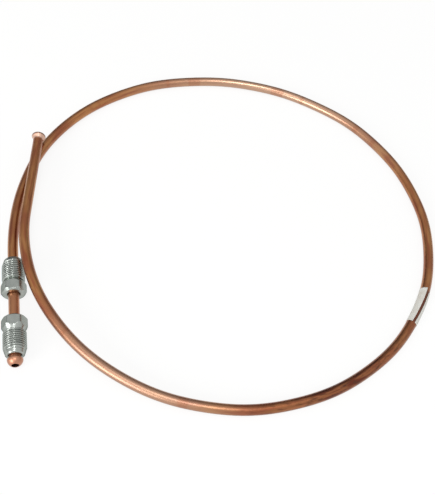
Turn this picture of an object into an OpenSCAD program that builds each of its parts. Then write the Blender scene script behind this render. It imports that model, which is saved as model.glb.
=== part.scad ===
// Copper pipe bent into one hand-made loop, with a bubble flare on both ends,
// two male tube nuts on its straight run and a paper label wrapped round it.
// The loop lies flat on the floor, +Z up, with the straight run pointing to -Y.

/* [Tube] */
// outside diameter of the tube
tube_od = 4.75; // [3:0.05:7]
// thickness of the tube wall
tube_wall = 0.9; // [0.5:0.05:1.4]
// how far the bubble flare stands out past the tube, each side
flare_rise = 1; // [0.6:0.1:1.5]
// length of the bubble flare along the tube
flare_length = 3.2; // [2:0.1:4]
// share of that length taken by the domed front, on the end with the nuts
flare_dome = 0.85; // [0.5:0.01:0.9]
// the same share on the free end, where the front is flatter
free_dome = 0.35; // [0.2:0.01:0.9]

/* [Loop] */
// radius of the loop on the tube's centreline
coil_radius = 97; // [70:1:140]
// straight run that ends in the free flare
free_length = 49; // [20:1:80]
// bare tube between the sliding nut and the first bend
bend_gap = 5.1; // [3:0.1:30]
// bare tube between the two nuts
nut_spacing = 12; // [3:0.1:25]
// how far each bend turns the tube to the right, in order from the straight run
bend_turn = [20, 60, 50, 55, 90, 47, 47]; // each 15 to 120 degrees
// each bend's radius beside the loop's: a hand-made loop is never quite round
bend_share = [1.42, 0.95, 1.1, 0.99, 1.01, 1.02, 0.91]; // each 0.8 to 1.5

/* [Nuts] */
// hexagon across its flats
hex_af = 10; // [9:0.5:14]
// length of the hexagon, with the cone in front of it
hex_length = 6.6; // [4.5:0.1:10]
// how far the hexagon's six corners are turned down
corner_break = 0.2; // [0.05:0.05:0.3]
// diameter of the round face on the back of the hexagon
hex_face_d = 8.8; // [8:0.1:9.8]
// length of the chamfer on the hexagon's back corners
hex_chamfer = 1; // [0.3:0.1:1.5]
// length of the cone from the hexagon's front corners down to the neck
hex_cone = 2.1; // [0.6:0.1:2.5]
// how far the relief neck is cut below the thread, each side
neck_depth = 0.7; // [0.6:0.05:1.2]
// length of the relief neck
neck_length = 0.2; // [0.1:0.1:1.5]
// outside diameter of the thread
thread_d = 10; // [9:0.5:12]
// length of the threaded part
thread_length = 7.8; // [5:0.1:14]
// length of the bevel where the thread starts at the neck
thread_bevel = 0.3; // [0.2:0.1:0.8]
// how far the plain nose lies below the thread, each side
nose_step = 0.95; // [0.6:0.05:1.4]
// length of the nose, with the bevel at its root
nose_length = 3.6; // [2.5:0.1:6]
// length of the bevel where the thread runs out into the nose
nose_root = 1.8; // [0.6:0.1:1.8]
// how much wider the nose is at its root, each side
nose_taper = 0.4; // [0.1:0.1:0.4]
// bevel on the nose's front edge
nose_bevel = 0.5; // [0.2:0.1:0.6]
// countersink at both ends of the bore
bore_sink = 0.6; // [0.2:0.1:0.6]

/* [Label] */
// length of the label along the tube
label_length = 20; // [10:1:40]
// thickness of the label
label_thickness = 0.15; // [0.1:0.05:0.4]
// width of the slit left between the label's two edges
label_slit = 1.2; // [0.5:0.1:3]
// how far round the fifth bend the label's middle sits
label_turn = 31; // [15:1:75]

/* [Clearances] */
// gap between the tube and the bore of a nut
nut_clearance = 0.1; // [0.05:0.05:0.4]
// gap between the end nut's nose and the flare it bears on
flare_clearance = 1.1; // [0.2:0.1:2]
// least gap where the free end crosses over the tube below
lap_clearance = 0.1; // [0.1:0.1:3]
// layer of glue under the label
glue_gap = 0.02; // [0.01:0.01:0.1]

/* [Hidden] */
tube_r = tube_od / 2;
bore_r = tube_r - tube_wall;
flare_r = tube_r + flare_rise;
mouth_r = bore_r + tube_wall / 2;
nut_length = hex_length + neck_length + thread_length + nose_length;
hex_corner = hex_af / cos(30);
corner_r = hex_corner / 2 - corner_break;
nut_bore_r = tube_r + nut_clearance;
// the nuts lie on a flat, so they set how high the straight run is held
run_z = max(hex_af, thread_d) / 2;
// the rest of the loop lies on the floor, on its label
ring_z = tube_r + glue_gap + label_thickness;
// the free end rides over the straight run's tube
over_z = run_z + tube_od + lap_clearance;
// distances along the straight run, from the tip of its flare
end_nut_nose = flare_length + flare_clearance;
end_nut_back = end_nut_nose + nut_length;
sliding_nut_face = end_nut_back + nut_spacing;
run_length = sliding_nut_face + nut_length + bend_gap;
bend_radius = coil_radius * bend_share;
last = len(bend_turn) - 1;
// a bend's wall slips this far inside its neighbours' walls, for this length
slip = 0.01;
slip_length = 0.5;
// cutting shapes run this far past the faces that they open
cut = 1;
// rise of a pair of bends for each unit of the sine of the pitch between them
function rise_of(i, pitch) =
  bend_radius[i] * tan(acos(cos(pitch) * cos(bend_turn[i])) / 2)
  + bend_radius[i + 1] * tan(acos(cos(pitch) * cos(bend_turn[i + 1])) / 2);
function pitch_for(i, rise) = asin(rise / rise_of(i, asin(rise / rise_of(i, 0))));
// pitch of the tube halfway down from the nuts and halfway up to the free end
dip = pitch_for(0, ring_z - run_z);
climb = pitch_for(last - 1, over_z - ring_z);
bend_pitch = [for (i = [0 : last + 1]) i == 1 ? dip : i == last ? climb : 0];
function turned(i) = i == 0 ? 0 : turned(i - 1) + bend_turn[i - 1];
function heading(i) = [
  cos(bend_pitch[i]) * cos(90 - turned(i)),
  cos(bend_pitch[i]) * sin(90 - turned(i)),
  sin(bend_pitch[i])
];
// angle a bend sweeps, and the direction from its start to its centre
function sweep(i) = acos(heading(i) * heading(i + 1));
function inward(i) = (heading(i + 1) - cos(sweep(i)) * heading(i)) / sin(sweep(i));
// where each bend starts, with the first one at the origin
function reach(i) = i == 0 ? [0, 0, run_z]
  : reach(i - 1) + bend_radius[i - 1] * tan(sweep(i - 1) / 2) * (heading(i - 1) + heading(i));
function middle(i) = reach(i) + bend_radius[i] * inward(i);
// the loop's outermost points fall in the three flat bends
left = -corner_r;
right = middle(3).x + bend_radius[3] + tube_r;
back = middle(2).y + bend_radius[2] + tube_r;
front = min(middle(4).y - bend_radius[4] - tube_r, -run_length);
origin = [-(left + right) / 2, -(front + back) / 2, 0];
// the fifth bend carries the label
label_bend = 4;
label_r = tube_r + glue_gap;

// puts its child at a distance from the tip of the straight run, its +Z to the tip
module on_run(distance) {
  translate(origin + [0, distance - run_length, run_z]) rotate([90, 0, 0]) children();
}

// turns a 2D section through part of a bend: section x runs out from the bend's centre
module along_bend(i, from, angle) {
  h = heading(i);
  c = inward(i);
  n = cross(h, c);
  p = origin + middle(i);
  multmatrix([
    [-c.x, h.x, n.x, p.x],
    [-c.y, h.y, n.y, p.y],
    [-c.z, h.z, n.z, p.z],
    [0, 0, 0, 1]
  ])
    rotate([0, 0, from])
      rotate_extrude(angle = angle, $fn = 120)
        translate([bend_radius[i], 0])
          children();
}

module tube_section(inset) {
  difference() {
    circle(r = tube_r - inset, $fn = 48);
    circle(r = bore_r + inset, $fn = 48);
  }
}

// every other bend is the slipped-in one, and runs on a little at both ends
module bend(i) {
  slipped = i % 2 == 0;
  extra = slipped ? slip_length / bend_radius[i] * 180 / PI : 0;
  along_bend(i, -extra, sweep(i) + 2 * extra)
    tube_section(slipped ? slip : 0);
}

// straight tube with its bubble flare, the tip of the flare at z = 0:
// a quarter ellipse from the mouth to the widest ring, then a cone back to the tube
module flared_run(length, share) {
  dome = [for (a = [0 : 15 : 90]) [
    mouth_r + (flare_r - mouth_r) * sin(a),
    share * flare_length * (1 - cos(a))
  ]];
  rotate_extrude($fn = 64)
    polygon(concat(
      [[bore_r, 0]],
      dome,
      [[tube_r, flare_length], [tube_r, length], [bore_r, length]]
    ));
}

module tube() {
  h = heading(last + 1);
  tip = origin + reach(last + 1) + free_length * h;
  color("#a5694a") {
    on_run(0) mirror([0, 0, 1]) flared_run(run_length, flare_dome);
    for (i = [0 : last]) bend(i);
    translate(tip) rotate([-90, 0, atan2(h.y, h.x) + 90]) flared_run(free_length, free_dome);
  }
}

// cone that opens the end of a nut's bore, its wide end at z = 0
module sink() {
  translate([0, 0, -cut])
    cylinder(r1 = nut_bore_r + bore_sink + cut, r2 = nut_bore_r, h = bore_sink + cut, $fn = 64);
}

// male tube nut: hexagon's back face at z = 0, nose along +Z
module nut() {
  thread_r = thread_d / 2;
  nose_r = thread_r - nose_step;
  neck_r = thread_r - neck_depth;
  thread_start = hex_length + neck_length;
  thread_end = thread_start + thread_length;
  difference() {
    rotate_extrude($fn = 64)
      polygon([
        [0, 0],
        [hex_face_d / 2, 0],
        [corner_r, hex_chamfer],
        [corner_r, hex_length - hex_cone],
        [neck_r, hex_length],
        [neck_r, thread_start],
        [thread_r, thread_start + thread_bevel],
        [thread_r, thread_end],
        [nose_r + nose_taper, thread_end + nose_root],
        [nose_r, nut_length - nose_bevel],
        [nose_r - nose_bevel, nut_length],
        [0, nut_length]
      ]);
    // the six flats
    difference() {
      translate([0, 0, -cut]) cylinder(d = 2 * hex_corner, h = hex_length + cut, $fn = 64);
      translate([0, 0, -2 * cut]) cylinder(d = hex_corner, h = hex_length + 4 * cut, $fn = 6);
    }
    translate([0, 0, -cut]) cylinder(r = nut_bore_r, h = nut_length + 2 * cut, $fn = 64);
    sink();
    translate([0, 0, nut_length]) mirror([0, 0, 1]) sink();
  }
}

module end_nut() {
  color("#969b96") on_run(end_nut_back) nut();
}

module sliding_nut() {
  color("#969b96") on_run(sliding_nut_face) rotate([180, 0, 0]) nut();
}

// paper sleeve round the tube, its slit facing up
module label() {
  wrap = label_length / bend_radius[label_bend] * 180 / PI;
  color("#cdcdc3")
    along_bend(label_bend, label_turn - wrap / 2, wrap)
      difference() {
        circle(r = label_r + label_thickness, $fn = 48);
        circle(r = label_r, $fn = 48);
        translate([-label_slit / 2, -2 * label_r]) square([label_slit, 2 * label_r]);
      }
}

tube();
end_nut();
sliding_nut();
label();
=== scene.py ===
# %% [markdown]
# # A copper tube coil
# The real object is one length of thin copper pipe, bent by hand into a loop of a little over one turn.
# Both of its ends are pressed into a round flare, two zinc-plated nuts ride on its straight run, and a
# paper label is wrapped round its right side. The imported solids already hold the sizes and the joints.
# This lesson makes a finer skin for each of the four pieces, with numpy, and gives each its finish.

import bpy
import numpy as np
from mathutils import Matrix, Vector


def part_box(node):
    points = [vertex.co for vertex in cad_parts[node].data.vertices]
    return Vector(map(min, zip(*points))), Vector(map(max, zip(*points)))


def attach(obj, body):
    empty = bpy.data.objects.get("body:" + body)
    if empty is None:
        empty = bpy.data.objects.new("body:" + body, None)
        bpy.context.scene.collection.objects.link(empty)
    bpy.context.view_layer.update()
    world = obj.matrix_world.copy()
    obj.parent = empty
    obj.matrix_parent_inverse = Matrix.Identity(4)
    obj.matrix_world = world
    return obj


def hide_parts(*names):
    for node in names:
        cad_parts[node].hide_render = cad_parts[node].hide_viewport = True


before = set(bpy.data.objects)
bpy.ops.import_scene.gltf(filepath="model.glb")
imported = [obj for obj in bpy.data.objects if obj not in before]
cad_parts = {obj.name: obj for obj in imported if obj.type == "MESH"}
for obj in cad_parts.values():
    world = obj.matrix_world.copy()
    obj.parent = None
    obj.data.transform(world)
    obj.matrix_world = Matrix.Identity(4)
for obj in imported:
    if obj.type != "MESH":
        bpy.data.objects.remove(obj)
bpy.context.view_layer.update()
MM = 0.001
print("solids:", ", ".join(sorted(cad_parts)))

# %% [markdown]
# ## The camera
# The picture looks down on the loop from its near side, a little from the left, with the camera tipped
# a few degrees. A camera can be placed by eye, or by matching the loop's outline: here the angles and the
# distance come from such a match, so the loop fills the frame as it does in the picture.

# %% Camera
VIEW_DOWN = 53.95
VIEW_TURN = -17.11
VIEW_TILT = 9.48
VIEW_DISTANCE = 372.7 * MM
LOOK_AT = Vector((-4.62, -14.87, 2.5)) * MM
LENS_MM = 57.26

turn = Matrix.Rotation(np.radians(VIEW_TURN), 3, "Z")
down = Matrix.Rotation(np.radians(90 - VIEW_DOWN), 3, "X")
tilt = Matrix.Rotation(np.radians(VIEW_TILT), 3, "Z")
aim = turn @ down @ tilt
camera = bpy.data.objects.new("camera", bpy.data.cameras.new("camera"))
bpy.context.scene.collection.objects.link(camera)
camera.data.lens = LENS_MM
camera.data.clip_start = 0.01
camera.data.clip_end = 50
camera.matrix_world = Matrix.Translation(LOOK_AT + VIEW_DISTANCE * aim.col[2]) @ aim.to_4x4()
bpy.context.scene.camera = camera
print("camera, mm:", [round(x / MM) for x in camera.matrix_world.translation])

# %% [markdown]
# ## The route of the tube
# A hand-bent tube is straight runs and round bends that follow on from each other. Each bend turns the
# tube to the right and starts in the direction in which the last one ended. Blender could carry a curve
# object through such points, but then the flares and the label could not ask where the tube is.
# So the route is a function: it takes a distance along the tube and gives the point and the direction.

# %% Sizes of the tube
# in millimetres, as in the solids
TUBE_R = 4.75 / 2
TUBE_WALL = 0.9
BORE_R = TUBE_R - TUBE_WALL
FLARE_RISE = 1.0
FLARE_R = TUBE_R + FLARE_RISE
FLARE_LENGTH = 3.2
RUN_DOME = 0.85 * FLARE_LENGTH
FREE_DOME = 0.35 * FLARE_LENGTH
FLARE_GAP = 1.1
GLUE_GAP = 0.02
LABEL_THICKNESS = 0.15
LAP_GAP = 0.1
NUT_TO_BEND = 5.1
FREE_RUN = 49
BEND_TURN = np.radians([20, 60, 50, 55, 90, 47, 47])
COIL_RADIUS = 97
BEND_RADIUS = COIL_RADIUS * np.array([1.42, 0.95, 1.1, 0.99, 1.01, 1.02, 0.91])


def node_box(name):
    """A solid's lowest and highest corner, in millimetres."""
    return [np.array(corner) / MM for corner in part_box(name)]


end_low, end_high = node_box("end_nut")
sliding_low, sliding_high = node_box("sliding_nut")
run_x, run_z = (end_low[0] + end_high[0]) / 2, (end_low[2] + end_high[2]) / 2
ring_z = TUBE_R + GLUE_GAP + LABEL_THICKNESS
over_z = run_z + 2 * TUBE_R + LAP_GAP
tip = np.array([run_x, end_low[1] - FLARE_GAP - FLARE_LENGTH, run_z])
run_end = np.array([run_x, sliding_high[1] + NUT_TO_BEND, run_z])
print("straight run, mm:", tip.round(2), "to", run_end.round(2))


# %% Headings and bends
def pair_reach(first, pitch):
    """How far two bends carry the tube along the heading between them: R tan(sweep / 2), added up."""
    pair = slice(first, first + 2)
    sweep = np.arccos(np.cos(pitch) * np.cos(BEND_TURN[pair]))
    return np.sum(BEND_RADIUS[pair] * np.tan(sweep / 2))


def pair_pitch(first, rise):
    """Slope between two bends that lifts the tube by the rise: its sine is the rise over the reach."""
    guess = np.arcsin(rise / pair_reach(first, 0))
    return np.arcsin(rise / pair_reach(first, guess))


pitch = np.zeros(len(BEND_TURN) + 1)
pitch[1] = pair_pitch(0, ring_z - run_z)
pitch[-2] = pair_pitch(len(BEND_TURN) - 2, over_z - ring_z)
bearing = np.pi / 2 - np.concatenate([[0], np.cumsum(BEND_TURN)])
level = np.stack([np.cos(bearing), np.sin(bearing)], axis=1)
heading = np.column_stack([level * np.cos(pitch)[:, None], np.sin(pitch)])
before, after = heading[:-1], heading[1:]
sweep = np.arccos(np.sum(before * after, axis=1))
inward = (after - np.cos(sweep)[:, None] * before) / np.sin(sweep)[:, None]
step = (BEND_RADIUS * np.tan(sweep / 2))[:, None] * (before + after)
print("bends sweep, degrees:", np.degrees(sweep).round(1))

# %% Route
piece_start = np.vstack([tip, run_end, run_end + np.cumsum(step, axis=0)])
piece_heading = np.vstack([heading[0], heading])
piece_inward = np.vstack([np.zeros(3), inward, np.zeros(3)])
piece_curve = np.concatenate([[0], 1 / BEND_RADIUS, [0]])
piece_length = np.concatenate([[np.linalg.norm(run_end - tip)], BEND_RADIUS * sweep, [FREE_RUN]])
piece_from = np.concatenate([[0], np.cumsum(piece_length)[:-1]])
TUBE_LENGTH = piece_length.sum()
UP = np.array([0, 0, 1.0])


def route(along):
    """Point, direction, upward and outward vectors at distances along the tube's centreline.

    On a bend of curvature k, a distance d goes d sinc(kd) forward and k d squared / 2 sinc(kd / 2) squared
    inward. With k = 0 the same two lengths give the straight runs.
    """
    piece = np.clip(np.searchsorted(piece_from, along, side="right") - 1, 0, len(piece_from) - 1)
    gone = along - piece_from[piece]
    angle = piece_curve[piece] * gone
    forward = gone * np.sinc(angle / np.pi)
    aside = gone * angle / 2 * np.sinc(angle / 2 / np.pi) ** 2
    way, to_centre = piece_heading[piece], piece_inward[piece]
    point = piece_start[piece] + forward[:, None] * way + aside[:, None] * to_centre
    ahead = np.cos(angle)[:, None] * way + np.sin(angle)[:, None] * to_centre
    outward = np.cross(UP, ahead)
    outward /= np.linalg.norm(outward, axis=1)[:, None]
    return point, ahead, np.cross(ahead, outward), outward


print("tube length, mm:", round(TUBE_LENGTH, 1))

# %% [markdown]
# ## From a grid of points to a mesh
# Every piece below is a grid: rows of points that go along it, columns that go round it. A grid that
# closes on itself both ways, like the skin of a ring, has no open edge. One function makes the quads of
# any such grid as whole arrays, in the order that makes them face outwards, and can keep a value for each
# point. Another measures the volume inside, which comes out negative if the faces look inwards.

# %% Grid to mesh
def skin(name, points, close_rows=True, close_columns=True, straight=None):
    """Object made of quads between neighbouring rows and columns of points, given in millimetres.

    Quad (i, j) joins point (i, j) to (i, j+1), (i+1, j+1) and (i+1, j), where a closed direction goes on
    from its last index to its first. straight keeps the place of each point on the piece before bending.
    """
    rows, columns = points.shape[:2]
    row, column = np.meshgrid(
        np.arange(rows if close_rows else rows - 1),
        np.arange(columns if close_columns else columns - 1),
        indexing="ij",
    )
    next_row, next_column = (row + 1) % rows, (column + 1) % columns
    corners = [(row, column), (row, next_column), (next_row, next_column), (next_row, column)]
    quads = np.stack([r * columns + c for r, c in corners], axis=-1).reshape(-1, 4)
    mesh = bpy.data.meshes.new(name)
    mesh.from_pydata((points.reshape(-1, 3) * MM).tolist(), [], quads.tolist())
    mesh.polygons.foreach_set("use_smooth", np.ones(len(quads), dtype=bool))
    if straight is not None:
        kept = mesh.attributes.new("straight", "FLOAT_VECTOR", "POINT")
        kept.data.foreach_set("vector", (straight * MM).astype(np.float32).ravel())
    mesh.update()
    piece = bpy.data.objects.new(name, mesh)
    bpy.context.scene.collection.objects.link(piece)
    return piece


def held_volume(piece):
    """Volume inside a closed mesh, mm3: a sixth of the triple product of each triangle's corners."""
    mesh = piece.data
    mesh.calc_loop_triangles()
    place = np.zeros(len(mesh.vertices) * 3)
    mesh.vertices.foreach_get("co", place)
    index = np.zeros(len(mesh.loop_triangles) * 3, dtype=int)
    mesh.loop_triangles.foreach_get("vertices", index)
    a, b, c = place.reshape(-1, 3)[index.reshape(-1, 3)].transpose(1, 0, 2) / MM
    return np.sum(a * np.cross(b, c)) / 6


for name, solid in sorted(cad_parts.items()):
    print(name, "solid holds, mm3:", round(held_volume(solid)))

# %% [markdown]
# ## The tube
# Copper pipe is drawn through a die, cut and bent, and each end is pushed into a bubble by a flaring
# tool. On the outside it is a circle carried along the route, with a radius that swells at both ends.
# The wall turns in at each mouth and the bore runs back inside, so one closed grid makes the whole pipe.
# A hand-bent loop is never quite even: a slow ripple of a tenth of a millimetre makes its gloss waver.

# %% Radius along the tube
TUBE_SIDES = 56
BEND_SPACING = 2.0
FLARE_STEPS = 14
LIP_STEPS = 5
LIP_R = 0.25
MOUTH_R = BORE_R + LIP_R

dome = np.linspace(0, np.pi / 2, FLARE_STEPS)
back = np.linspace(0, 1, FLARE_STEPS)[1:]
lip = np.linspace(0, np.pi / 2, LIP_STEPS)


def flare_distance(front):
    """Distances from the tip: midway between an ellipse and a cone, then even steps to the tube."""
    over = (1 - np.cos(dome) + dome / dome[-1]) / 2
    return np.concatenate([front * over, front + (FLARE_LENGTH - front) * back])


# a blunt dome from the mouth to the widest ring, then an S-shaped fall to the plain tube
flare_radius = np.concatenate([
    MOUTH_R + (FLARE_R - MOUTH_R) * np.sin(dome),
    TUBE_R + (FLARE_R - TUBE_R) * (1 + np.cos(np.pi * back)) / 2,
])
# the rounded lip turns from the mouth's ring into the bore
lip_along = LIP_R * (1 - np.cos(lip))[1:]
lip_radius = MOUTH_R - LIP_R * np.sin(lip)[1:]
body_along = np.linspace(FLARE_LENGTH, TUBE_LENGTH - FLARE_LENGTH, int(TUBE_LENGTH / BEND_SPACING))[1:-1]
along = np.concatenate([
    flare_distance(RUN_DOME),
    body_along,
    TUBE_LENGTH - flare_distance(FREE_DOME)[::-1],
    TUBE_LENGTH - lip_along,
    body_along[::-1],
    lip_along[::-1],
])
radius = np.concatenate([
    flare_radius,
    np.full(len(body_along), TUBE_R),
    flare_radius[::-1],
    lip_radius,
    np.full(len(body_along), BORE_R),
    lip_radius[::-1],
])
print("rings in the tube's skin:", len(along))

# %% Tube
RIPPLE = 0.1
RIPPLE_LENGTHS = (38, 61)
loop_from, loop_to = piece_from[1], piece_from[-1]


def ripple(distance):
    """Slow sideways and upward waver of the bent part, which fades to nothing at the straight runs."""
    fade = np.sin(np.pi * np.clip((distance - loop_from) / (loop_to - loop_from), 0, 1)) ** 0.5
    side, lift = (RIPPLE * fade * np.sin(2 * np.pi * distance / length) for length in RIPPLE_LENGTHS)
    return side[:, None], lift[:, None]


def tube_points(distance, reach, angle):
    """Points at a radius round the rippled route; the angle goes from straight up to outwards."""
    point, ahead, over, outward = route(distance)
    side, lift = ripple(distance)
    centre = point + side * outward + lift * over
    ring = np.cos(angle)[..., None] * over[:, None] + np.sin(angle)[..., None] * outward[:, None]
    return centre[:, None] + reach[..., None] * ring


# each ring runs from a full turn down to none, the way round that makes the faces look outwards
round_angle = np.tile(np.linspace(2 * np.pi, 0, TUBE_SIDES, endpoint=False), (len(along), 1))
wide = np.repeat(radius[:, None], TUBE_SIDES, axis=1)
lengthwise = np.repeat(along[:, None], TUBE_SIDES, axis=1)
straight_tube = np.stack([lengthwise, wide * np.sin(round_angle), wide * np.cos(round_angle)], axis=-1)
tube = skin("copper_tube", tube_points(along, wide, round_angle), straight=straight_tube)
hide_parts("tube")
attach(tube, "pipe")
print("tube skin holds, mm3:", round(held_volume(tube)))

# %% [markdown]
# ## The nuts
# A male tube nut is turned from hexagon bar: the lathe cuts a chamfer, a cone, the M10 x 1 thread and a
# tapered nose, and drills the bore. It could be cut from a solid bar with booleans, but all of it can be
# said as a radius at each height and angle, so the nut is one grid too: its profile goes from the bore out
# over the back face, along the outside and in at the nose, and the hexagon and the thread only change the
# radius with the angle.

# %% Sizes of a nut
HEX_FLAT = 10 / 2
HEX_LENGTH = 6.6
CORNER_BREAK = 0.2
CORNER_R = HEX_FLAT / np.cos(np.radians(30)) - CORNER_BREAK
HEX_FACE_R = 4.4
BACK_CHAMFER = 1.0
FRONT_CONE = 2.1
NECK_R = 4.3
NECK_LENGTH = 0.2
THREAD_R = 10 / 2
THREAD_PITCH = 1.0
THREAD_DEPTH = 0.58
GROOVE_STEEPNESS = 0.75
THREAD_START_SLOPE = 1.5
THREAD_END = 14.6
NOSE_ROOT_R = 4.45
NOSE_ROOT = 16.4
NOSE_R = 4.05
NOSE_BEVEL = 0.5
NUT_LENGTH = 18.2
NUT_CLEARANCE = 0.1
NUT_BORE_R = TUBE_R + NUT_CLEARANCE
BORE_SINK = 0.6
EDGE_EASE = 0.09
MOST_EASED = 0.24
NUT_SIDES = 144
ROWS_A_TURN = 14
HEX_CRISPNESS = 160

phi = np.linspace(0, 2 * np.pi, NUT_SIDES, endpoint=False)


def hexagon(angle):
    """Radius of a hexagon with its corners on the x axis: flat over the p-norm of the six cosines.

    The higher the power p, the crisper the corners; the lathe has turned them down to CORNER_R.
    """
    facing = np.cos(angle[:, None] - np.radians(30 + 60 * np.arange(6)))
    spread = np.sum(np.maximum(facing, 0) ** HEX_CRISPNESS, axis=1) ** (1 / HEX_CRISPNESS)
    return np.minimum(HEX_FLAT / spread, CORNER_R)


def thread(angle, height):
    """Radius of a right-hand thread: one rounded groove to each pitch, a turn later for each turn."""
    wave = np.cos(2 * np.pi * (height / THREAD_PITCH - angle / (2 * np.pi)))
    groove = np.clip(0.5 + GROOVE_STEEPNESS * wave, 0, 1)
    return THREAD_R - THREAD_DEPTH * groove


print("a nut, mm:", NUT_LENGTH, "long,", round(2 * CORNER_R, 2), "over its turned corners")


# %% Turned rows of a nut
def ring(reach, height):
    """One row of the profile: a radius and a height at every angle."""
    return np.stack([np.broadcast_to(reach, phi.shape), np.broadcast_to(height, phi.shape)], axis=-1)


def eased(rows):
    """Each row of a closed profile becomes five, which round its edge off by EDGE_EASE.

    Two steps lie back towards the last row, two on towards the next, and the middle one is drawn in
    between them. A step takes at most the share MOST_EASED of the way, so short edges stay in order.
    """
    corner = np.stack(rows)
    ways = [np.roll(corner, 1, axis=0) - corner, np.roll(corner, -1, axis=0) - corner]
    spans = [np.linalg.norm(way, axis=-1, keepdims=True) for way in ways]
    last, following = (way * np.minimum(EDGE_EASE / span, MOST_EASED) for way, span in zip(ways, spans))
    rounded = corner + (last + following) / 4
    five = [corner + 2 * last, corner + last, rounded, corner + following, corner + 2 * following]
    return np.stack(five, axis=1).reshape(-1, *corner.shape[1:])


hex_r = hexagon(phi)
back_rise = BACK_CHAMFER * (hex_r - HEX_FACE_R) / (CORNER_R - HEX_FACE_R)
front_fall = FRONT_CONE * (hex_r - NECK_R) / (CORNER_R - NECK_R)
hexagon_rows = [
    ring(NUT_BORE_R, BORE_SINK),
    ring(NUT_BORE_R + BORE_SINK, 0),
    ring(HEX_FACE_R, 0),
    ring(hex_r, back_rise),
    ring(hex_r, HEX_LENGTH - front_fall),
    ring(NECK_R, HEX_LENGTH),
    ring(NECK_R, HEX_LENGTH + NECK_LENGTH),
]
nose_rows = [
    ring(NOSE_ROOT_R, NOSE_ROOT),
    ring(NOSE_R, NUT_LENGTH - NOSE_BEVEL),
    ring(NOSE_R - NOSE_BEVEL, NUT_LENGTH),
    ring(NUT_BORE_R + BORE_SINK, NUT_LENGTH),
    ring(NUT_BORE_R, NUT_LENGTH - BORE_SINK),
]
plain = eased(hexagon_rows + nose_rows)
print("turned rows of a nut:", len(plain))

# %% Threaded rows and the whole nut
thread_from = HEX_LENGTH + NECK_LENGTH
thread_rows = int((NOSE_ROOT - thread_from) / THREAD_PITCH * ROWS_A_TURN)
thread_height = np.linspace(thread_from, NOSE_ROOT, thread_rows)[2:-2]
# the thread starts on a steep bevel at the neck and runs out on the long bevel to the nose
start_bevel = NECK_R + THREAD_START_SLOPE * (thread_height - thread_from)
end_slope = (THREAD_R - NOSE_ROOT_R) / (NOSE_ROOT - THREAD_END)
end_bevel = NOSE_ROOT_R + end_slope * (NOSE_ROOT - thread_height)
thread_reach = np.minimum(
    thread(phi[None], thread_height[:, None]),
    np.minimum(start_bevel, end_bevel)[:, None],
)
threaded = np.stack([thread_reach, np.repeat(thread_height[:, None], NUT_SIDES, axis=1)], axis=-1)
# easing has made five rows of each row, and the thread comes between the neck and the nose
split = 5 * len(hexagon_rows)
profile = np.concatenate([plain[:split], threaded, plain[split:]])
nut_shape = np.stack(
    [profile[..., 0] * np.cos(phi), profile[..., 0] * np.sin(phi), profile[..., 1]], axis=-1
)
print("rows in a nut's skin:", len(profile))

# %% Nuts
# each row of a turn says which of the nut's own x, y, z goes to the object's X, Y or Z
NOSE_TO_TIP = np.array([[1, 0, 0], [0, 0, -1], [0, 1, 0]])
NOSE_TO_LOOP = np.array([[1, 0, 0], [0, 0, 1], [0, -1, 0]])
nuts = []
for body, turning, back_face in (
    ("end_nut", NOSE_TO_TIP, end_high[1]),
    ("sliding_nut", NOSE_TO_LOOP, sliding_low[1]),
):
    seat = np.array([run_x, back_face, run_z])
    nut = skin("zinc_" + body, nut_shape @ turning.T + seat, straight=nut_shape)
    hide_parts(body)
    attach(nut, body)
    nuts.append(nut)
    print(nut.name, "holds, mm3:", round(held_volume(nut)))

# %% [markdown]
# ## The label
# The label is a strip of paper stuck round the tube, a little askew, so that its two long edges leave a
# slanting slit of bare copper. It is a thin sheet that follows the tube's own skin: a grid with one
# direction along the tube and one round it. Its upper end is cut on a slant and one corner lifts.
# Solidify then gives the sheet the thickness of paper.

# %% Sheet of the label
LABEL_BEND = 5
LABEL_TURN = np.radians(31)
LABEL_LENGTH = 20
SLIT = 1.2
SLIT_UPPER = np.radians(28)
SLIT_LOWER = np.radians(11)
UPPER_SKEW = 2.0
# depth in mm, waves and start of each wave that roughens the cut ends
RAGGED_WAVES = ((0.12, 17, 0), (0.08, 41, 1))
# the corner at the end of the slit stands off the copper: by how much, and from which share of u and w
LIFT = 0.3
LIFT_FROM_U = 0.8
LIFT_FROM_W = 0.85
# both long edges rise by a hair, over a small share of the way round
EDGE_RISE = 0.06
EDGE_SHARE = 0.02
LABEL_ROWS = 64
LABEL_COLUMNS = 72

# w runs down, as the tube's rings do, so that the sheet's face looks outwards and thickens outwards
u, w = np.meshgrid(np.linspace(0, 1, LABEL_ROWS), np.linspace(1, 0, LABEL_COLUMNS), indexing="ij")
label_middle = piece_from[LABEL_BEND] + BEND_RADIUS[LABEL_BEND - 1] * LABEL_TURN
ragged = sum(depth * np.sin(waves * w + start) for depth, waves, start in RAGGED_WAVES)
upper_end = -LABEL_LENGTH / 2 + UPPER_SKEW * (0.5 - w) + ragged
lower_end = LABEL_LENGTH / 2 - ragged
label_along = label_middle + upper_end + (lower_end - upper_end) * u
half_slit = SLIT / 2 / TUBE_R
slit_angle = SLIT_UPPER + (SLIT_LOWER - SLIT_UPPER) * u
label_angle = slit_angle + half_slit + w * (2 * np.pi - 2 * half_slit)
lift_u = np.clip((u - LIFT_FROM_U) / (1 - LIFT_FROM_U), 0, 1)
lift_w = np.clip((w - LIFT_FROM_W) / (1 - LIFT_FROM_W), 0, 1)
edge_lift = EDGE_RISE * (np.exp(-w / EDGE_SHARE) + np.exp((w - 1) / EDGE_SHARE))
label_reach = TUBE_R + GLUE_GAP + LIFT * (lift_u * lift_w) ** 2 + edge_lift
print("label, mm:", LABEL_LENGTH, "along,", round(float(np.ptp(label_angle[0]) * TUBE_R), 1), "round")


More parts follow.
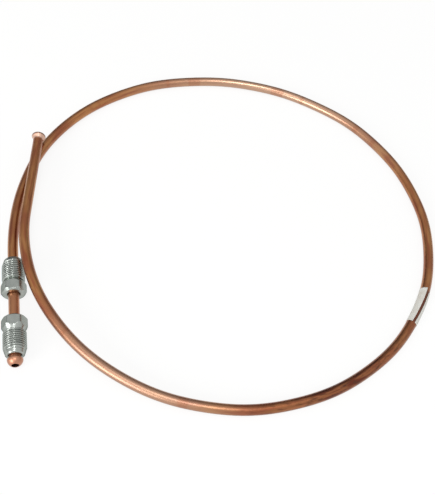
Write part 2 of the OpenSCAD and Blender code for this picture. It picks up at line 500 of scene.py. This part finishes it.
# %% Label
def on_tube(distance, reach, angle):
    """Points over the rippled tube where the distance also changes from column to column."""
    flat = distance.ravel()
    spot = tube_points(flat, reach.reshape(-1, 1), angle.reshape(-1, 1))
    return spot.reshape(*distance.shape, 3)


straight_label = np.stack([label_along, w * 2 * np.pi * TUBE_R, np.zeros_like(w)], axis=-1)
label = skin("paper_label", on_tube(label_along, label_reach, label_angle), False, False, straight_label)
paper = label.modifiers.new("paper", "SOLIDIFY")
paper.thickness = LABEL_THICKNESS * MM
paper.offset = 1
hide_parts("label")
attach(label, "pipe")
print("label points:", len(label.data.vertices))

# %% [markdown]
# ## Materials
# A material is a small tree of nodes. One function adds a node, sets its values and links its inputs,
# and another turns a colour written as it looks on a screen into the linear values that light adds up in.

# %% Node and colour helpers
def linear(colour):
    """Linear RGBA of a colour such as "A5694A": each part is undone from the screen's curve."""
    part = np.array([int(colour[i : i + 2], 16) for i in (0, 2, 4)]) / 255
    light = np.where(part <= 0.04045, part / 12.92, ((part + 0.055) / 1.055) ** 2.4)
    return (*light.tolist(), 1.0)


def add(tree, kind, inputs=(), **settings):
    """New node in a tree, with its own settings and its inputs.

    An input is a value, a screen colour, or the socket or node that feeds it: a node feeds from the
    first of its outputs that is in use.
    """
    made = tree.nodes.new(kind)
    for name, value in settings.items():
        setattr(made, name, value)
    for socket, value in dict(inputs).items():
        if isinstance(value, bpy.types.Node):
            value = next(out for out in value.outputs if out.enabled)
        if isinstance(value, bpy.types.NodeSocket):
            tree.links.new(value, made.inputs[socket])
        else:
            made.inputs[socket].default_value = linear(value) if isinstance(value, str) else value
    return made


def empty_material(name):
    """A new material and its tree, with no nodes in it yet."""
    material = bpy.data.materials.new(name)
    material.use_nodes = True
    material.node_tree.nodes.clear()
    return material, material.node_tree


# a Mix node has sockets for every kind of data: these are its factor, its numbers and its colours
FACTOR, NUMBER_A, NUMBER_B, COLOUR_A, COLOUR_B = 0, 2, 3, 6, 7
print("a mid copper in linear light:", [round(x, 3) for x in linear("A5694A")])

# %% [markdown]
# ### Drawn copper, lightly tarnished
# Bare copper from the die is a bright metal with fine lines along its length. Weeks of handling turn it
# golden brown, with redder streaks and older patches, and one stretch of this loop is darker and redder
# still. Paler copper is painted where the lamps' gloss falls on the loop and between the nuts, as painted
# sheen. Both ends are pressed pale by the flaring tool; by the end nut that pale copper runs on over the
# shaded bare tube as painted light, and the free end is paler still as a painted highlight, with a painted
# shade ring round its front. Dark copper is painted under the label's slit and in the bore as painted
# shade. A metal's colour tints what it mirrors, so the tint is a deep golden brown. A thin film of clear
# oil lies over it: the shader's coat, which adds the creamy gloss and the pale rims. The patterns could be
# painted, but noise on the tube's own straight shape follows each bend and holds up close.

# %% Copper patterns
# sizes in mm along the tube and across it, and how many finer layers each pattern has;
# drawing lines are finer than a tenth of a millimetre, and are drawn as 0.5 mm to show at all
COPPER_PATTERNS = {
    "lines": ((45, 0.5, 0.5), 2.0),
    "streaks": ((14, 1.3, 1.3), 2.0),
    "patches": ((24, 24, 24), 4.0),
    "specks": ((3, 0.8, 0.8), 2.0),
    "bands": ((12, 1000, 1000), 2.0),
}
copper, tree = empty_material("drawn_copper_tarnished")
straight = add(tree, "ShaderNodeAttribute", attribute_name="straight").outputs["Vector"]
pattern = {}
for name, (size, detail) in COPPER_PATTERNS.items():
    per_metre = 1 / (np.array(size) * MM)
    scaled = add(tree, "ShaderNodeVectorMath", {0: straight, 1: per_metre}, operation="MULTIPLY")
    pattern[name] = add(tree, "ShaderNodeTexNoise", {"Vector": scaled, "Scale": 1.0, "Detail": detail})
print("copper patterns:", ", ".join(pattern))

# %% Places on the copper
# distances along the tube, mm: painted sheen between the nuts and where the lamps' gloss falls on the
# loop, painted shade under the label's slit, and the darkest stretch
COPPER_PLACES = {"nuts": 29, "back_sheen": 268, "label": label_middle, "darkest_stretch": 497, "front_sheen": 594}
DARK_STRETCH_REACH = 75 * MM
# how far from a tip the pressed pale copper fades in and is full; by the end nut it runs on over the
# shaded bare tube as painted light
PRESSED_AND_LIT_FROM = 7 * MM
PRESSED_FULL = 4.5 * MM

distance = add(tree, "ShaderNodeSeparateXYZ", {0: straight}).outputs["X"]
away_from = {}
for name, place in COPPER_PLACES.items():
    past = add(tree, "ShaderNodeMath", {0: distance, 1: place * MM}, operation="SUBTRACT")
    away_from[name] = add(tree, "ShaderNodeMath", {0: past}, operation="ABSOLUTE")
darker_stretch = add(tree, "ShaderNodeMapRange", {
    "Value": away_from["darkest_stretch"], "From Min": DARK_STRETCH_REACH, "From Max": 0.0,
}, interpolation_type="SMOOTHSTEP")
# the darker stretch is broken by streaks
uneven = add(tree, "ShaderNodeMapRange", {
    "Value": pattern["streaks"], "From Min": 0.4, "From Max": 0.58, "To Min": 1.0, "To Max": 0.2,
})
# distance from the free tip, from the nearer tip, and from the tube's own axis
to_free_tip = add(tree, "ShaderNodeMath", {0: TUBE_LENGTH * MM, 1: distance}, operation="SUBTRACT")
from_tip = add(tree, "ShaderNodeMath", {0: distance, 1: to_free_tip}, operation="MINIMUM")
pressed = add(tree, "ShaderNodeMapRange", {
    "Value": from_tip, "From Min": PRESSED_AND_LIT_FROM, "From Max": PRESSED_FULL,
})
across = add(tree, "ShaderNodeVectorMath", {0: straight, 1: (0, 1, 1)}, operation="MULTIPLY")
from_axis = add(tree, "ShaderNodeVectorMath", {0: across}, operation="LENGTH")
print("places on the copper, mm:", {name: round(float(place)) for name, place in COPPER_PLACES.items()})

# %% Copper tint
GOLDEN_BROWN = "BE824C"
# each layer: what it follows, where it begins and is full, how much it covers, and its tint
COPPER_LAYERS = (
    (pattern["patches"], 0.36, 0.66, 1.0, "A46036"),
    (pattern["streaks"], 0.46, 0.66, 0.7, "984A2C"),
    (darker_stretch, 0.0, 1.0, uneven, "702A08"),
    # painted sheen: paler copper between the nuts
    (away_from["nuts"], 12 * MM, 4 * MM, 0.5, "CA8E68"),
    # painted sheen: paler copper where the lamps' gloss falls on the back and the front of the loop
    (away_from["back_sheen"], 105 * MM, 10 * MM, 0.9, "C8A288"),
    (away_from["front_sheen"], 62 * MM, 10 * MM, 0.8, "BC947C"),
    (pattern["bands"], 0.56, 0.6, 0.35, "A8623E"),
    # the pressed ends: the one by the nuts, run on as painted light over the shaded tube, then the free
    # one, painted paler as a highlight, with a painted shade ring round its front
    (distance, PRESSED_AND_LIT_FROM, PRESSED_FULL, 1.0, "C68C6E"),
    (to_free_tip, 4 * MM, 3 * MM, 1.0, "E4BCA6"),
    (to_free_tip, 1.9 * MM, 1.3 * MM, 0.8, "7A5038"),
    (to_free_tip, 1.0 * MM, 0.7 * MM, 1.0, "C68C6E"),
    # painted shade: dark copper under the label shows in its slit and fades out at its ends
    (away_from["label"], 10.5 * MM, 9 * MM, 0.7, "5C2A22"),
    (pattern["specks"], 0.46, 0.72, darker_stretch, "5E3018"),
    # painted shade: the bore is painted dark
    (from_axis, 1.7 * MM, 1.5 * MM, 1.0, "3A2016"),
)
tint = GOLDEN_BROWN
for follows, begins, full, cover, colour in COPPER_LAYERS:
    share = add(tree, "ShaderNodeMapRange", {
        "Value": follows, "From Min": begins, "From Max": full, "To Max": cover,
    }, interpolation_type="SMOOTHSTEP")
    tint = add(tree, "ShaderNodeMix", {FACTOR: share, COLOUR_A: tint, COLOUR_B: colour}, data_type="RGBA")
print("layers of copper tint:", len(COPPER_LAYERS))

# %% Copper finish
LINE_SHADE = 0.3
LINE_DEPTH = 0.05 * MM
# the later half of the loop is scuffed, so its gloss is broader
SCUFFED_FROM = 520 * MM
SCUFFED_FULL = 580 * MM
SCUFFED_ROUGHER = 0.08
PRESSED_ROUGHER = 0.1

lined = add(tree, "ShaderNodeMix", {
    FACTOR: pattern["lines"], COLOUR_A: "8A8A8A", COLOUR_B: "F4F4F4",
}, data_type="RGBA")
drawn = add(tree, "ShaderNodeMix", {
    FACTOR: LINE_SHADE, COLOUR_A: tint, COLOUR_B: lined,
}, data_type="RGBA", blend_type="MULTIPLY")
worn = add(tree, "ShaderNodeMapRange", {
    "Value": pattern["patches"], "From Min": 0.3, "From Max": 0.7, "To Min": 0.3, "To Max": 0.4,
})
scuffed = add(tree, "ShaderNodeMapRange", {
    "Value": distance, "From Min": SCUFFED_FROM, "From Max": SCUFFED_FULL, "To Max": SCUFFED_ROUGHER,
})
handled = add(tree, "ShaderNodeMath", {0: worn, 1: scuffed}, operation="ADD")
rough = add(tree, "ShaderNodeMath", {0: pressed, 1: PRESSED_ROUGHER, 2: handled}, operation="MULTIPLY_ADD")
grooves = add(tree, "ShaderNodeBump", {
    "Height": pattern["lines"], "Strength": 0.02, "Distance": LINE_DEPTH,
})
oiled = add(tree, "ShaderNodeBsdfPrincipled", {
    "Base Color": drawn, "Metallic": 1.0, "Roughness": rough, "Normal": grooves,
    "Coat Weight": 0.6, "Coat Roughness": 0.3,
})
add(tree, "ShaderNodeOutputMaterial", {"Surface": oiled})
tube.data.materials.append(copper)
print("copper nodes:", len(tree.nodes))

# %% [markdown]
# ### Zinc-plated steel
# The nuts are turned steel with a thin bright zinc plate and a clear passivation. It gives a cool grey
# mirror, softened by the plating's fine grain, a little cloudy, and marked by the lathe with rings.
# The rings could be geometry, but they are finer than a hair: a sine of the nut's own height bends the
# light as they do.

# %% Zinc
CLOUD = 2.5 * MM
GRAIN = 0.4 * MM
GRAIN_DEPTH = 0.03 * MM
# turning marks are about 0.1 mm apart; they are drawn 0.3 mm apart to show
TURNING = 0.3 * MM
TURNING_DEPTH = 0.01 * MM

zinc, tree = empty_material("zinc_plated_steel")
straight = add(tree, "ShaderNodeAttribute", attribute_name="straight").outputs["Vector"]
clouds = add(tree, "ShaderNodeTexNoise", {"Vector": straight, "Scale": 1 / CLOUD, "Detail": 3.0})
grain = add(tree, "ShaderNodeTexNoise", {"Vector": straight, "Scale": 1 / GRAIN, "Detail": 2.0})
height = add(tree, "ShaderNodeSeparateXYZ", {0: straight}).outputs["Z"]
rings = add(tree, "ShaderNodeMath", {0: height, 1: 2 * np.pi / TURNING}, operation="MULTIPLY")
marks = add(tree, "ShaderNodeMath", {0: rings}, operation="SINE")
tinted = add(tree, "ShaderNodeMix", {
    FACTOR: clouds, COLOUR_A: "949A95", COLOUR_B: "BCC0BB",
}, data_type="RGBA")
soft = add(tree, "ShaderNodeMapRange", {
    "Value": clouds, "From Min": 0.3, "From Max": 0.7, "To Min": 0.2, "To Max": 0.34,
})
grained = add(tree, "ShaderNodeBump", {"Height": grain, "Strength": 0.04, "Distance": GRAIN_DEPTH})
turned = add(tree, "ShaderNodeBump", {
    "Height": marks, "Strength": 0.1, "Distance": TURNING_DEPTH, "Normal": grained,
})
plated = add(tree, "ShaderNodeBsdfPrincipled", {
    "Base Color": tinted, "Metallic": 1.0, "Roughness": soft, "Normal": turned,
    "Specular Tint": "9A9E9A",
})
add(tree, "ShaderNodeOutputMaterial", {"Surface": plated})
for nut in nuts:
    nut.data.materials.append(zinc)
print("zinc nodes:", len(tree.nodes))

# %% [markdown]
# ### Coated paper
# The label is thin coated paper: off-white, matt with a slight sheen, mottled by its fibres, creased by
# the wrapping and a little grubby. Its face is bare. Noise on the flat, unwrapped sheet gives the fibres
# and the creases, so that they run on round the tube.

# %% Paper
FIBRE = 0.7 * MM
FIBRE_DEPTH = 0.03 * MM
CREASE = 5 * MM
CREASE_DEPTH = 0.2 * MM

paper_white, tree = empty_material("coated_label_paper")
straight = add(tree, "ShaderNodeAttribute", attribute_name="straight").outputs["Vector"]
fibres = add(tree, "ShaderNodeTexNoise", {"Vector": straight, "Scale": 1 / FIBRE, "Detail": 3.0})
creases = add(tree, "ShaderNodeTexNoise", {"Vector": straight, "Scale": 1 / CREASE, "Detail": 3.0})
grubby = add(tree, "ShaderNodeMapRange", {"Value": creases, "From Min": 0.45, "From Max": 0.75})
mottled = add(tree, "ShaderNodeMix", {
    FACTOR: fibres, COLOUR_A: "C6C6C0", COLOUR_B: "D2D1CB",
}, data_type="RGBA")
grimed = add(tree, "ShaderNodeMix", {
    FACTOR: grubby, COLOUR_A: mottled, COLOUR_B: "C0BAB0",
}, data_type="RGBA")
fibrous = add(tree, "ShaderNodeBump", {"Height": fibres, "Strength": 0.08, "Distance": FIBRE_DEPTH})
creased = add(tree, "ShaderNodeBump", {
    "Height": creases, "Strength": 0.4, "Distance": CREASE_DEPTH, "Normal": fibrous,
})
coated = add(tree, "ShaderNodeBsdfPrincipled", {
    "Base Color": grimed, "Roughness": 0.55, "Normal": creased,
})
add(tree, "ShaderNodeOutputMaterial", {"Surface": coated})
label.data.materials.append(paper_white)
print("paper nodes:", len(tree.nodes))

# %% [markdown]
# ## Floor, light and world
# The coil lies on a white sheet. The floor is a pale paint that still takes shadows, mixed with a plain
# white for the camera and for mirrored rays, so the copper sees the white sheet too. Two soft boxes stand
# where the gloss on the loop says that the lamps were. The world is a room that is bright overhead and
# behind the camera and dark at its far side, which the tube mirrors as a dark upper edge.

# %% Floor
FLOOR_SIZE = 6.0
WHITE_SHARE = 0.85

floor_grid = np.stack(np.meshgrid([-1, 1], [-1, 1], [0.0], indexing="ij"), axis=-1).reshape(2, 2, 3)
floor = skin("floor", floor_grid[:, ::-1] * FLOOR_SIZE / 2 / MM, False, False)
white, tree = empty_material("white_sheet")
paint = add(tree, "ShaderNodeBsdfPrincipled", {
    "Base Color": "F2F2F0", "Roughness": 0.9, "Specular IOR Level": 0.0,
})
plain_white = add(tree, "ShaderNodeEmission", {"Color": "FFFFFF", "Strength": 1.0})
rays = add(tree, "ShaderNodeLightPath").outputs
mirrored = add(tree, "ShaderNodeMath", {
    0: rays["Is Glossy Ray"], 1: rays["Is Transmission Ray"],
}, operation="ADD")
seen = add(tree, "ShaderNodeMath", {0: rays["Is Camera Ray"], 1: mirrored}, operation="ADD", use_clamp=True)
share = add(tree, "ShaderNodeMath", {0: seen, 1: WHITE_SHARE}, operation="MULTIPLY")
sheet = add(tree, "ShaderNodeMixShader", {0: share, 1: paint, 2: plain_white})
add(tree, "ShaderNodeOutputMaterial", {"Surface": sheet})
floor.data.materials.append(white)
print("floor, m:", FLOOR_SIZE)


# %% Lamps
def soft_box(name, bearing, rise, distance, size, watts):
    """Area lamp aimed at the coil, at a bearing from +X and a rise from the floor, in degrees."""
    lamp = bpy.data.objects.new(name, bpy.data.lights.new(name, "AREA"))
    bpy.context.scene.collection.objects.link(lamp)
    lamp.data.shape = "RECTANGLE"
    lamp.data.size, lamp.data.size_y = size
    lamp.data.energy = watts
    b, r = np.radians([bearing, rise])
    towards = Vector((np.cos(b) * np.cos(r), np.sin(b) * np.cos(r), np.sin(r)))
    lamp.location = towards * distance
    lamp.rotation_euler = towards.to_track_quat("Z", "Y").to_euler()
    return lamp


soft_box("window", bearing=-142, rise=23, distance=1.2, size=(0.55, 0.5), watts=7)
soft_box("ceiling_lamp", bearing=-105, rise=70, distance=1.4, size=(0.25, 0.5), watts=4.8)

# %% World
BRIGHT_SIDE = (-0.08, -0.7, 0.7)
# how much a direction faces the bright side where the room is darkest and where it is brightest
DARK_FACING = -0.7
BRIGHT_FACING = 0.5
ROOM_DARK = 0.05
ROOM_BRIGHT = 0.85

world = bpy.data.worlds.new("room")
bpy.context.scene.world = world
world.use_nodes = True
tree = world.node_tree
tree.nodes.clear()
direction = add(tree, "ShaderNodeTexCoord").outputs["Generated"]
facing = add(tree, "ShaderNodeVectorMath", {0: direction, 1: BRIGHT_SIDE}, operation="DOT_PRODUCT")
room = add(tree, "ShaderNodeMapRange", {
    "Value": facing, "From Min": DARK_FACING, "From Max": BRIGHT_FACING,
    "To Min": ROOM_DARK, "To Max": ROOM_BRIGHT,
}, interpolation_type="SMOOTHSTEP")
# the camera itself sees plain white past the floor
seen = add(tree, "ShaderNodeLightPath").outputs["Is Camera Ray"]
strength = add(tree, "ShaderNodeMix", {FACTOR: seen, NUMBER_A: room, NUMBER_B: 1.0})
background = add(tree, "ShaderNodeBackground", {"Color": "FFFFFF", "Strength": strength})
add(tree, "ShaderNodeOutputWorld", {"Surface": background})
bpy.context.scene.view_settings.view_transform = "Standard"
print("room light from", ROOM_DARK, "to", ROOM_BRIGHT)

# %% Finish
bpy.context.view_layer.update()
